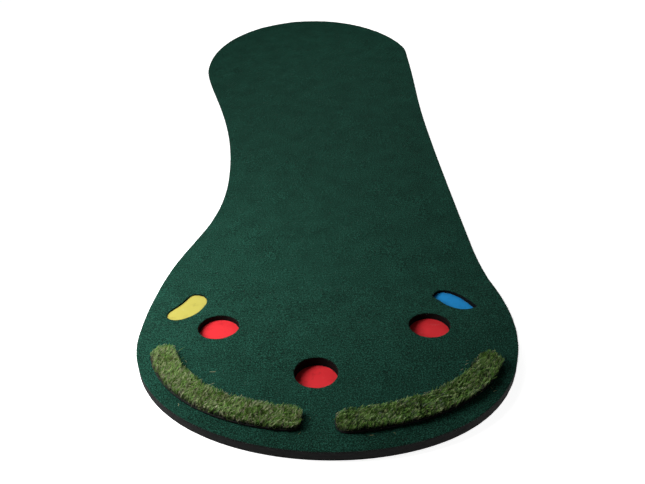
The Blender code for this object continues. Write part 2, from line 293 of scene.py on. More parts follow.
def filled(rings, pitch, seed):
    """Triangles that fill the space inside the rings: the ring points first, then the points between them."""
    edge = np.vstack(rings)
    points = np.vstack([edge, spread(rings, pitch, seed, pitch * 0.55)])
    joins = []
    start = 0
    for ring in rings:
        joins += [(start + k, start + (k + 1) % len(ring)) for k in range(len(ring))]
        start += len(ring)
    found, _, faces, *_ = delaunay_2d_cdt([tuple(p) for p in points], joins, [], 0, 1e-9)
    if len(found) != len(points):
        raise RuntimeError("two points of a layer fell together")
    faces = np.array(faces)
    rim_only = (faces < len(edge)).all(1)
    middle = points[faces[rim_only]].mean(1)
    keep = np.ones(len(faces), bool)
    keep[rim_only] = inside(middle, rings)
    return points, faces[keep]


def waves(seed, shortest, longest, height, count=28):
    """A gentle unevenness: a function of points, from seeded waves between two lengths."""
    draw = np.random.default_rng(seed)
    span = shortest * (longest / shortest) ** draw.random(count)
    heading = draw.normal(size=(count, 3))
    heading /= np.linalg.norm(heading, axis=1)[:, None]
    phase = draw.random(count) * TURN
    weight = np.sqrt(span) / np.linalg.norm(np.sqrt(span)) * height * math.sqrt(2)
    turns = heading * (TURN / span)[:, None]
    return lambda points: np.sin(points @ turns.T + phase) @ weight


def over(x, y, relief):
    """How high an unevenness is over places given as arrays of x and of y."""
    return relief(np.column_stack([x.ravel(), y.ravel(), np.zeros(x.size)])).reshape(x.shape)


def bowed(middles, turn, reach, bend):
    """The x and y of short strands lying flat, four points each, bowed to one side."""
    t = np.linspace(-0.5, 0.5, 4)[None, :]
    cos, sin = np.cos(turn)[:, None], np.sin(turn)[:, None]
    along = reach[:, None] * t
    aside = bend[:, None] * np.cos(t * math.pi)
    return middles[:, :1] + cos * along - sin * aside, middles[:, 1:] + sin * along + cos * aside


# Meshes


def add_piece(name, points, faces, material, body, smooth=True):
    """A finished piece from points and faces, at the origin, riding on its body."""
    mesh = bpy.data.meshes.new(name)
    mesh.from_pydata(np.asarray(points).tolist(), [], faces)
    mesh.validate()
    mesh.polygons.foreach_set("use_smooth", np.full(len(mesh.polygons), smooth))
    piece = bpy.data.objects.new(name, mesh)
    bpy.context.scene.collection.objects.link(piece)
    mesh.materials.append(material)
    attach(piece, body)
    return piece


def layer(name, node, material, body, pitch, edge_pitch, rows, relief=None, wander=None, passes=8):
    """A soft layer over its CAD node's plan: an uneven top, walls in rows and a closed underside.

    rows are (inset in metres, share of the thickness below the top).
    """
    uppers = rims(node)
    top_at = level_along(uppers[0])
    low_at = level_along(rims(node, up=False)[0])
    sunk = [r for r in uppers if (top_at(r[:, 1]) - r[:, 2]).max() > 0.001]
    holes = [r for r in uppers[1:] if all(r is not s for s in sunk)]
    plans, floors = [], []
    for ring in [uppers[0], *holes]:
        outer = ring is uppers[0]
        plan = eased(wound(evenly(ring, edge_pitch), outer), passes if outer else 2)
        below = [s for s in sunk if np.linalg.norm(s.mean(0)[:2] - plan.mean(0)) < 0.02]
        plans.append(plan)
        floors.append(level_along(below[0]) if below else low_at)
    sides = [inward(plan) for plan in plans]

    def height(points):
        flat = np.column_stack([points, np.zeros(len(points))])
        return top_at(points[:, 1]) + (relief(flat) if relief else 0)

    first_inset = rows[0][0]
    crest = [plan + side * first_inset for plan, side in zip(plans, sides)]
    plan_points, faces = filled(crest, pitch, seed=len(name))
    points = [np.column_stack([plan_points, height(plan_points)])]
    depths = [np.zeros(len(plan_points))]
    faces = faces.tolist()
    total = len(plan_points)
    start = 0
    underside = []
    for plan, side, floor in zip(plans, sides, floors):
        upper = start
        start += len(plan)
        high = height(plan + side * first_inset)
        low = floor(plan[:, 1])
        step = np.arange(len(plan))
        after = (step + 1) % len(plan)
        for inset, share in rows[1:]:
            level = high + (low - high) * share
            row = np.column_stack([plan + side * inset, level])
            if wander and share < 1:
                row[:, :2] += side * np.abs(wander(row))[:, None]
            points.append(row)
            depths.append(np.full(len(row), share))
            faces += np.stack([upper + step, total + step, total + after, upper + after], axis=1).tolist()
            upper = total
            total += len(plan)
        underside.append((plan + side * rows[-1][0], upper, floor))
    for sunk_floor in (False, True):
        group = [u for u in underside if (u[2] is not low_at) == sunk_floor]
        if not group:
            continue
        rings = [u[0][::-1] if sunk_floor else u[0] for u in group]
        inner, fill = filled(rings, max(pitch * 3, 0.02), seed=7)
        at = np.concatenate([u[1] + np.arange(len(u[0]))[:: -1 if sunk_floor else 1] for u in group])
        extra = inner[len(at) :]
        points.append(np.column_stack([extra, group[0][2](extra[:, 1])]))
        depths.append(np.ones(len(extra)))
        index = np.concatenate([at, total + np.arange(len(extra))])
        total += len(extra)
        fill = index[fill]
        faces += (fill if sunk_floor else fill[:, ::-1]).tolist()
    piece = add_piece(name, np.vstack(points), faces, material, body)
    put(piece, "depth", np.concatenate(depths))
    return piece


def flat_area(node):
    """The area of a CAD node's plan, without its holes."""
    areas = [abs(shoelace(ring)) for ring in rims(node, up=False)]
    return areas[0] - sum(areas[1:])


def cut_from(node):
    """Width and length of the smallest rectangle of cloth that a node's outline can be cut from."""
    ring = rims(node)[0][:, :2]
    turned = []
    for angle in np.radians(np.arange(0, 180, 0.5)):
        across = ring @ np.array([math.cos(angle), math.sin(angle)])
        along = ring @ np.array([-math.sin(angle), math.cos(angle)])
        turned.append((float(np.ptp(across)), float(np.ptp(along))))
    return tuple(sorted(min(turned, key=lambda size: size[0] * size[1])))


def lay(node, flat=None):
    """Hides the CAD node of a piece of cloth laid in its place, and works out the node's flat area, which is
    not kept.
    """
    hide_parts(node)
    flat_area(node)


def shaped(pattern, paths, widths, turns):
    """Copies a straight pattern along many paths: its points (copies, points, 3) and faces.

    pattern is (points, faces) of a piece one unit long and wide, standing on the origin.
    paths are (copies, steps, 3), widths (copies, steps) and turns (copies) the angle about the path.
    """
    unit, unit_faces = pattern
    copies, steps, _ = paths.shape
    along = unit[:, 2] * (steps - 1)
    at = np.minimum(along.astype(int), steps - 2)
    part = (along - at)[None, :, None]
    spine = paths[:, at] * (1 - part) + paths[:, at + 1] * part
    travel = np.gradient(paths, axis=1)
    travel /= np.linalg.norm(travel, axis=2)[:, :, None]
    travel = travel[:, np.rint(along).astype(int)]
    seed = np.stack([np.cos(turns), np.sin(turns), np.zeros(copies)], axis=1)[:, None, :]
    across = seed - (seed * travel).sum(2)[:, :, None] * travel
    across /= np.linalg.norm(across, axis=2)[:, :, None]
    through = np.cross(travel, across)
    width = (widths[:, at] * (1 - part[:, :, 0]) + widths[:, at + 1] * part[:, :, 0])[:, :, None]
    points = spine + (across * unit[None, :, 0:1] + through * unit[None, :, 1:2]) * width
    faces = [
        [corner + copy * len(unit) for corner in face] for copy in range(copies) for face in unit_faces
    ]
    return points.reshape(-1, 3), faces


def put(piece, name, values):
    """Stores one number for each point of a piece, for its material to read."""
    field = piece.data.attributes.new(name, "FLOAT", "POINT")
    field.data.foreach_set("value", np.asarray(values, np.float32).ravel())


def deselect():
    """Leaves nothing selected, so that an operator acts only on what it adds."""
    if bpy.context.mode != "OBJECT":
        bpy.ops.object.mode_set(mode="OBJECT")
    bpy.ops.object.select_all(action="DESELECT")


def take(piece):
    """A modelled pattern's points and faces, and the pattern itself is removed."""
    mesh = piece.data
    points = np.array([piece.matrix_world @ v.co for v in mesh.vertices])
    faces = [list(p.vertices) for p in mesh.polygons]
    bpy.data.objects.remove(piece)
    bpy.data.meshes.remove(mesh)
    return points, faces


def pick(piece, test):
    """Goes into edit mode with only the points that pass the test selected."""
    bpy.ops.object.mode_set(mode="EDIT")
    bpy.ops.mesh.select_mode(type="VERT")
    bpy.ops.mesh.select_all(action="DESELECT")
    bpy.ops.object.mode_set(mode="OBJECT")
    for vertex in piece.data.vertices:
        vertex.select = test(vertex.co)
    bpy.ops.object.mode_set(mode="EDIT")


def yarn_pattern(cuts, thin, pointed):
    """One straight yarn, one long and one wide: three-sided, cut across, flattened, and pointed or blunt."""
    deselect()
    bpy.ops.mesh.primitive_cylinder_add(vertices=3, radius=0.5, depth=1, location=(0, 0, 0.5))
    bpy.ops.object.transform_apply(location=True)
    piece = bpy.context.object
    bpy.ops.object.mode_set(mode="EDIT")
    for cut in range(1, cuts):
        bpy.ops.mesh.select_all(action="SELECT")
        bpy.ops.mesh.bisect(plane_co=(0, 0, cut / cuts), plane_no=(0, 0, 1))
    bpy.ops.mesh.select_all(action="SELECT")
    bpy.ops.transform.resize(value=(1, thin, 1), center_override=(0, 0, 0))
    if pointed:
        pick(piece, lambda place: place.z > 0.999)
        bpy.ops.mesh.merge(type="CENTER")
    bpy.ops.object.mode_set(mode="OBJECT")
    return take(piece)


def hook_pattern():
    """One moulded hook, one unit tall and hanging down: a stem whose end is drawn out to a side and up."""
    deselect()
    bpy.ops.mesh.primitive_cylinder_add(vertices=5, radius=0.16, depth=0.6, location=(0, 0, -0.3))
    bpy.ops.object.transform_apply(location=True)
    piece = bpy.context.object
    pick(piece, lambda place: place.z < -0.59)
    for move, swell in (((0.08, 0, -0.22), 0.9), ((0.26, 0, -0.10), 0.8), ((0.24, 0, 0.16), 0.6)):
        bpy.ops.mesh.extrude_region_move(TRANSFORM_OT_translate={"value": move})
        bpy.ops.transform.resize(value=(swell, swell, swell))
    bpy.ops.object.mode_set(mode="OBJECT")
    points, faces = take(piece)
    # Extruding leaves the faces in an order that differs from run to run, so they're put in order.
    return points, sorted(faces)



# Materials


def add_node(tree, kind, values=None, links=None, stops=None, **fields):
    """Adds a shader node with its fields, socket values, links and colour stops.

    A link comes from a socket, or from a node, which means its first output.
    """
    node = tree.nodes.new("ShaderNode" + kind)
    for field, value in fields.items():
        setattr(node, field, value)
    for socket, value in (values or {}).items():
        node.inputs[socket].default_value = value
    for socket, source in (links or {}).items():
        tree.links.new(getattr(source, "outputs", [source])[0], node.inputs[socket])
    if stops:
        ramp = node.color_ramp.elements
        while len(ramp) < len(stops):
            ramp.new(1)
        for element, (position, tint) in zip(ramp, stops):
            element.position = position
            element.color = tint
    return node


def blank_material(name):
    """A material with an empty node tree, and the link that lays its patterns on Object coordinates."""
    material = bpy.data.materials.new(name)
    material.use_nodes = True
    tree = material.node_tree
    tree.nodes.clear()
    return material, tree, {"Vector": add_node(tree, "TexCoord").outputs["Object"]}


def per_metre(millimetres):
    """The texture scale that draws a feature at this size, where coordinates are in metres."""
    return 1000 / millimetres


def shade(value):
    """A grey as a colour."""
    return (value, value, value, 1)


def scaled(tint, share):
    """A colour made darker or lighter by a share."""
    return tuple(c * share for c in tint[:3]) + (1,)


def needled_felt(settings):
    """Needle-punched polyester felt: matt, mottled by clumps of mixed dyed fibre, with faint needle rows."""
    material, tree, place = blank_material("needle_punched_polyester_felt")
    clump = add_node(
        tree, "TexNoise", {"Scale": per_metre(settings.fleck * 1000), "Detail": 2.5, "Roughness": 0.62}, place
    )
    # Single fibres are under 0.1 mm, too fine to show, so they're drawn as 2 mm wisps.
    wisp = add_node(tree, "TexNoise", {"Scale": per_metre(2.0), "Detail": 2, "Roughness": 0.7}, place)
    # The needle board leaves rows across the roll, about 12 mm apart.
    rows = add_node(
        tree,
        "TexWave",
        {"Scale": per_metre(12) * WAVE_UNIT, "Distortion": 3.0, "Detail": 2, "Detail Scale": 0.4},
        place,
        wave_type="BANDS",
        bands_direction="Y",
    )
    cloud = add_node(tree, "TexNoise", {"Scale": per_metre(70), "Detail": 3}, place)
    mixed = add_node(tree, "Math", {1: 0.55}, {0: wisp, 2: clump}, operation="MULTIPLY_ADD")
    lined = add_node(tree, "Math", {1: 0.02}, {0: rows.outputs["Fac"], 2: mixed}, operation="MULTIPLY_ADD")
    drifted = add_node(tree, "Math", {1: 0.12}, {0: cloud, 2: lined}, operation="MULTIPLY_ADD")
    evened = add_node(tree, "Math", {1: 0.585}, {0: drifted}, operation="MULTIPLY")
    stops = [(0.42, settings.dark_fleck), (0.48, settings.ground), (0.51, settings.ground)]
    dye = add_node(tree, "ValToRGB", links={"Fac": evened}, stops=[*stops, (0.59, settings.light_fleck)])
    # The lower half of the cut edge is painted black: partly the black latex that the felt is precoated with,
    # partly painted shade for the shadow on the cut walls.
    depth = add_node(tree, "Attribute", attribute_name="depth").outputs["Fac"]
    latex_and_shade = add_node(tree, "ValToRGB", links={"Fac": depth}, stops=[(0.22, shade(0)), (0.42, shade(1))])
    edged = add_node(tree, "Mix", {7: settings.latex}, {0: latex_and_shade, 6: dye}, data_type="RGBA")
    bump = add_node(tree, "Bump", {"Strength": 0.7, "Distance": 0.0008}, {"Height": mixed})
    shader = add_node(
        tree,
        "BsdfPrincipled",
        {
            "Roughness": 0.95,
            "Specular IOR Level": 0.12,
            "Sheen Weight": 0.1,
            "Sheen Roughness": 0.55,
            "Sheen Tint": settings.light_fleck,
        },
        {"Base Color": edged.outputs[2], "Normal": bump},
    )
    add_node(tree, "OutputMaterial", links={"Surface": shader})
    return material


def felt_fibre(settings):
    """Loose polyester fibre pulled out of the felt: the same dyes, a little shinier than the matted face."""
    material, tree, _ = blank_material("loose_polyester_fibre")
    tone = add_node(tree, "Attribute", attribute_name="tone").outputs["Fac"]
    stops = [(0.0, settings.dark_fleck), (0.45, settings.ground), (1.0, settings.light_fleck)]
    dye = add_node(tree, "ValToRGB", links={"Fac": tone}, stops=stops)
    shader = add_node(
        tree,
        "BsdfPrincipled",
        {"Roughness": 0.7, "Specular IOR Level": 0.25, "Sheen Weight": 0.2},
        {"Base Color": dye},
    )
    add_node(tree, "OutputMaterial", links={"Surface": shader})
    return material


def cut_foam(settings):
    """Cross-linked polyethylene foam, knife-cut: dull, with open cells and faint layers from its sheeting."""
    material, tree, place = blank_material("cross_linked_polyethylene_foam")
    # The cells are about 0.4 mm, too fine to show, so they're drawn at the size of the setting.
    size = {"Scale": per_metre(settings.cell * 1000)}
    cells = add_node(tree, "TexVoronoi", size, place, feature="DISTANCE_TO_EDGE")
    flat = add_node(tree, "Mapping", {"Scale": (1, 1, 14)}, place)
    layers = add_node(tree, "TexNoise", {"Scale": per_metre(24), "Detail": 3}, {"Vector": flat})
    dust = add_node(
        tree, "ValToRGB", links={"Fac": layers}, stops=[(0.35, settings.tint), (0.75, settings.skin)]
    )
    # Painted shade: each cell's hollow middle is darkened and its rim left light, for the shade inside the
    # open cells.
    pore_shade = add_node(tree, "ValToRGB", links={"Fac": cells}, stops=[(0.0, shade(1)), (0.25, shade(0.55))])
    tint = add_node(tree, "Mix", {0: 0.8}, {6: dust, 7: pore_shade}, **MULTIPLY)
    bump = add_node(tree, "Bump", {"Strength": 0.8, "Distance": 0.0005}, {"Height": pore_shade}, invert=True)
    shader = add_node(
        tree,
        "BsdfPrincipled",
        {"Roughness": 0.88, "Specular IOR Level": 0.2},
        {"Base Color": tint.outputs[2], "Normal": bump},
    )
    add_node(tree, "OutputMaterial", links={"Surface": shader})
    return material


def foamed_rubber(settings):
    """Foamed non-slip rubber, moulded on a dimpled belt: dull, with a close grid of dimples 3 mm apart."""
    material, tree, place = blank_material("foamed_rubber_backing")
    grid = {"Scale": per_metre(3), "Randomness": 0.15}
    dimple = add_node(tree, "TexVoronoi", grid, place, feature="SMOOTH_F1")
    stain = add_node(tree, "TexNoise", {"Scale": per_metre(40), "Detail": 4}, place)
    tint = add_node(
        tree, "ValToRGB", links={"Fac": stain}, stops=[(0.3, settings.tint), (0.8, settings.rubber)]
    )
    bump = add_node(tree, "Bump", {"Strength": 0.9, "Distance": 0.0008}, {"Height": dimple})
    shader = add_node(
        tree,
        "BsdfPrincipled",
        {"Roughness": 0.8, "Specular IOR Level": 0.3},
        {"Base Color": tint, "Normal": bump},
    )
    add_node(tree, "OutputMaterial", links={"Surface": shader})
    return material


def dyed_felt(name, tint):
    """Thin pressed felt dyed in one bright colour: nearly flat, with fine flecks and a soft low sheen."""
    material, tree, place = blank_material(name)
    # Pressed fibres are under 0.1 mm, too fine to show, so they're drawn as 1.6 mm flecks.
    fleck = add_node(tree, "TexNoise", {"Scale": per_metre(1.6), "Detail": 3, "Roughness": 0.7}, place)
    patch = add_node(tree, "TexNoise", {"Scale": per_metre(22), "Detail": 2}, place)
    blend = add_node(tree, "Math", {1: 0.6}, {0: fleck, 2: patch}, operation="MULTIPLY_ADD")
    evened = add_node(tree, "Math", {1: 0.625}, {0: blend}, operation="MULTIPLY")
    pale = tuple(c + (1 - c) * 0.10 for c in tint[:3]) + (1,)
    stops = [(0.28, scaled(tint, 0.72)), (0.44, tint), (0.60, tint), (0.76, pale)]
    dye = add_node(tree, "ValToRGB", links={"Fac": evened}, stops=stops)
    bump = add_node(tree, "Bump", {"Strength": 0.45, "Distance": 0.0004}, {"Height": fleck})
    shader = add_node(
        tree,
        "BsdfPrincipled",
        {"Roughness": 0.8, "Specular IOR Level": 0.2, "Sheen Weight": 0.04, "Sheen Roughness": 0.4},
        {"Base Color": dye, "Normal": bump},
    )
    add_node(tree, "OutputMaterial", links={"Surface": shader})
    return material


def turf_yarn(name, stops, roughness, specular):
    """Extruded polyethylene yarn, slit and crimped: each its own tone, with painted shade that darkens it
    towards its root.
    """
    material, tree, place = blank_material(name)
    tone = add_node(tree, "Attribute", attribute_name="tone").outputs["Fac"]
    rise = add_node(tree, "Attribute", attribute_name="rise").outputs["Fac"]
    dye = add_node(tree, "ValToRGB", links={"Fac": tone}, stops=stops)
    # Painted shade: darker towards the root, where the blades and curls shade one another.
    shadow = [(0, shade(0.05)), (0.5, shade(0.3)), (0.85, shade(1))]
    depth = add_node(tree, "ValToRGB", links={"Fac": rise}, stops=shadow)
    streak = add_node(tree, "TexNoise", {"Scale": per_metre(2.2), "Detail": 2}, place)
    uneven = add_node(tree, "ValToRGB", links={"Fac": streak}, stops=[(0.3, shade(0.78)), (0.65, shade(1))])
    deep = add_node(tree, "Mix", {0: 1.0}, {6: dye, 7: depth}, **MULTIPLY)
    tint = add_node(tree, "Mix", {0: 1.0}, {6: deep.outputs[2], 7: uneven}, **MULTIPLY)
    shader = add_node(
        tree,
        "BsdfPrincipled",
        {"Roughness": roughness, "Specular IOR Level": specular, "IOR": 1.51},
        {"Base Color": tint.outputs[2]},
    )
    add_node(tree, "OutputMaterial", links={"Surface": shader})
    return material


def latex_cloth(settings):
    """Woven backing cloth dipped in black latex: matt, with the weave's 2 mm grid just showing through."""
    material, tree, place = blank_material("latex_coated_tufting_cloth")
    grid = {"Scale": per_metre(2), "Randomness": 0.1}
    weave = add_node(tree, "TexVoronoi", grid, place, distance="CHEBYCHEV")
    smear = add_node(tree, "TexNoise", {"Scale": per_metre(9), "Detail": 4}, place)
    stops = [(0.4, settings.latex), (0.75, scaled(settings.latex, 2.2))]
    tint = add_node(tree, "ValToRGB", links={"Fac": smear}, stops=stops)
    bump = add_node(tree, "Bump", {"Strength": 0.6, "Distance": 0.0004}, {"Height": weave})
    shader = add_node(
        tree,
        "BsdfPrincipled",
        {"Roughness": 0.7, "Specular IOR Level": 0.3},
        {"Base Color": tint, "Normal": bump},
    )
    add_node(tree, "OutputMaterial", links={"Surface": shader})
    return material


def moulded_nylon():
    """Black nylon, injection moulded: a fine satin grain that catches small highlights on each hook."""
    material, tree, place = blank_material("moulded_nylon")
    grain = add_node(tree, "TexNoise", {"Scale": per_metre(0.8), "Detail": 3}, place)
    stops = [(0.3, linear("#101010")), (0.7, linear("#262626"))]
    tint = add_node(tree, "ValToRGB", links={"Fac": grain}, stops=stops)
    bump = add_node(tree, "Bump", {"Strength": 0.3, "Distance": 0.0002}, {"Height": grain})
    shader = add_node(
        tree, "BsdfPrincipled", {"Roughness": 0.42, "IOR": 1.53}, {"Base Color": tint, "Normal": bump}
    )
    add_node(tree, "OutputMaterial", links={"Surface": shader})
    return material


def matt_paper(settings):
    """Matt paper sweep: pale, all but featureless, and lit a little from behind so that it stays pale."""
    material, tree, place = blank_material("matt_paper_sweep")
    grain = add_node(tree, "TexNoise", {"Scale": per_metre(30), "Detail": 3}, place)
    stops = [(0.3, scaled(settings.sweep, 0.985)), (0.7, settings.sweep)]
    tint = add_node(tree, "ValToRGB", links={"Fac": grain}, stops=stops)
    glow = {"Emission Color": shade(1), "Emission Strength": settings.glow}
    shader = add_node(
        tree,
        "BsdfPrincipled",
        {"Roughness": 1.0, "Specular IOR Level": 0.0, **glow},
        {"Base Color": tint},
    )
    add_node(tree, "OutputMaterial", links={"Surface": shader})
    return material


# Operators, one for each piece or group of like pieces


class GREEN_OT_felt(bpy.types.Operator):
    """Lays the felt, with its cut edges and its loose fibres"""

    bl_idname = "green.felt"
    bl_label = "Lay the felt"

    def execute(self, context):
        settings = context.scene.green_felt
        felt = layer(
            "putting_felt",
            "turf_sheet",
            needled_felt(settings),
            "mat",
            settings.pitch * COARSE,
            0.005 * COARSE,
            [(0.0010, 0), (0.0003, 0.08), (0, 0.28), (0.0002, 0.55), (0, 0.85), (0.0003, 1)],
            relief=waves(*FELT_WAVES, settings.cockle),
            wander=waves(12, 0.006, 0.030, 0.00022),
        )
        fibre = felt_fibre(settings)
        loose = [self.edge_fibres(settings, fibre), self.nap_fibres(settings, fibre)]
        lay("turf_sheet")
        return {"FINISHED"}

    def edge_fibres(self, settings, fibre):
        """Short fibres that stick out where the felt was cut."""
        draw = np.random.default_rng(21)
        uppers = rims("turf_sheet")
        top_at = level_along(uppers[0])
        plans = [wound(evenly(ring, 0.0016), ring is uppers[0]) for ring in uppers]
        roots = np.vstack(plans)
        outs = np.vstack([-inward(plan) for plan in plans])
        chosen = draw.choice(len(roots), min(settings.edge_fibres, len(roots)), replace=False)
        roots, outs = roots[chosen], outs[chosen]
        count = len(roots)
        depth = draw.uniform(0.0002, 0.0030, count)
        start = np.column_stack([roots - outs * 0.0006, top_at(roots[:, 1]) - depth])
        reach = draw.uniform(0.0010, 0.0030, count)[:, None]
        swing = draw.normal(0, 0.7, (count, 2))
        along = np.column_stack([outs[:, 1], -outs[:, 0]]) * swing[:, :1]
        ends = np.column_stack([outs + along, swing[:, 1] * 0.5]) * reach
        hook = draw.normal(0, 0.0006, (count, 3))
        t = np.linspace(0, 1, 4)[None, :, None]
        paths = start[:, None, :] + ends[:, None, :] * t + hook[:, None, :] * np.sin(t * math.pi)
        widths = np.full((count, 4), EDGE_FIBRE) * draw.uniform(0.7, 1.4, count)[:, None]
        return self.fibres("felt_edge_fibres", paths, widths, fibre, draw)

    def nap_fibres(self, settings, fibre):
        """Loose fibres that arch over the top of the felt."""
        draw = np.random.default_rng(22)
        uppers = rims("turf_sheet")
        top_at = level_along(uppers[0])
        low, high = uppers[0].min(0)[:2], uppers[0].max(0)[:2]
        wanted = settings.nap_fibres // SPARSE
        roots = draw.uniform(low, high, (int(wanted * 1.6) + 10, 2))
        roots = roots[inside(roots, [ring[:, :2] for ring in uppers])]
        roots = roots[~near(roots, np.vstack([evenly(r, 0.004) for r in uppers]), 0.006)][:wanted]
        count = len(roots)
        turn = draw.uniform(0, TURN, count)
        reach = draw.uniform(0.0025, 0.0060, count)
        x, y = bowed(roots, turn, reach, draw.normal(0, 0.0010, count))
        arch = np.sin(np.linspace(0, 1, 4) * math.pi * 0.9 + 0.15)[None, :]
        rise = draw.uniform(0.0004, 0.0012, count)[:, None] * arch
        z = top_at(y) + over(x, y, waves(*FELT_WAVES, settings.cockle)) + rise - 0.0002
        widths = np.full((count, 4), NAP_FIBRE) * draw.uniform(0.7, 1.5, count)[:, None]
        return self.fibres("felt_nap_fibres", np.stack([x, y, z], axis=2), widths, fibre, draw)

    def fibres(self, name, paths, widths, fibre, draw):
        """One piece made of many loose fibres."""
        pattern = yarn_pattern(3, 1.0, pointed=False)
        points, faces = shaped(pattern, paths, widths, draw.uniform(0, TURN, len(paths)))
        piece = add_piece(name, points, faces, fibre, "mat")
        put(piece, "tone", np.repeat(draw.random(len(paths)), len(pattern[0])))
        return piece


class GREEN_OT_foam(bpy.types.Operator):
    """Cuts the foam core, and lays the thin foam and the rubber backing under it"""

    bl_idname = "green.foam"
    bl_label = "Cut the foam"

    def execute(self, context):
        settings = context.scene.green_foam
        foam = cut_foam(settings)
        levels = (0.08, 0.22, 0.36, 0.5, 0.64, 0.78, 0.92)
        core = layer(
            "foam_core",
            "foam_wedge",
            foam,
            "mat",
            0.010,
            0.0035 * COARSE,
            [(0.0012, 0), (0.0006, 0.02), *((0.0004, level) for level in levels), (0.0008, 1)],
            wander=waves(31, 0.004, 0.050, settings.knife),
            passes=3,
        )
        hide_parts("foam_wedge")
        rubber = foamed_rubber(settings)
        for name, node, material, slot, under in (
            ("foam_sheet", "foam_underlay", foam, "black_foam", ["nonslip_backing"]),
            ("rubber_backing", "nonslip_backing", rubber, "backing_rubber", []),
        ):
            sheet = layer(
                name,
                node,
                material,
                "mat",
                0.014 * COARSE,
                0.006,
                [(0.0008, 0), (0.0003, 0.25), (0.0002, 0.7), (0.0006, 1)],
                wander=waves(32, 0.005, 0.040, 0.0002),
                passes=3,
            )
            lay(node)
        return {"FINISHED"}


class GREEN_OT_floors(bpy.types.Operator):
    """Drops the red felt discs into the cups, and the yellow and blue felts into their inlays"""

    bl_idname = "green.floors"
    bl_label = "Drop in the floors"

    def execute(self, context):
        settings = context.scene.green_floors
        dyes = {
            dye: dyed_felt(f"pressed_felt_{dye}", getattr(settings, dye)) for dye in ("red", "yellow", "blue")
        }
        floors = [(f"{cup}_cup_floor", f"{cup}_cup_felt", "red", "nonslip_backing") for cup in CUPS]
        floors.append(("sand_floor", "sand_felt", "yellow", "foam_wedge"))
        floors.append(("water_floor", "water_felt", "blue", "nonslip_backing"))
        for seed, (node, name, dye, under) in enumerate(floors):
            felt = layer(
                name,
                node,
                dyes[dye],
                "mat",
                settings.pitch,
                0.002,
                [(0.0005, 0), (0.0001, 0.3), (0.0001, 0.75), (0.0003, 1)],
                relief=waves(41 + seed, 0.012, 0.070, 0.00016),
                wander=waves(51 + seed, 0.004, 0.016, 0.0002),
            )
            lay(node)
        return {"FINISHED"}


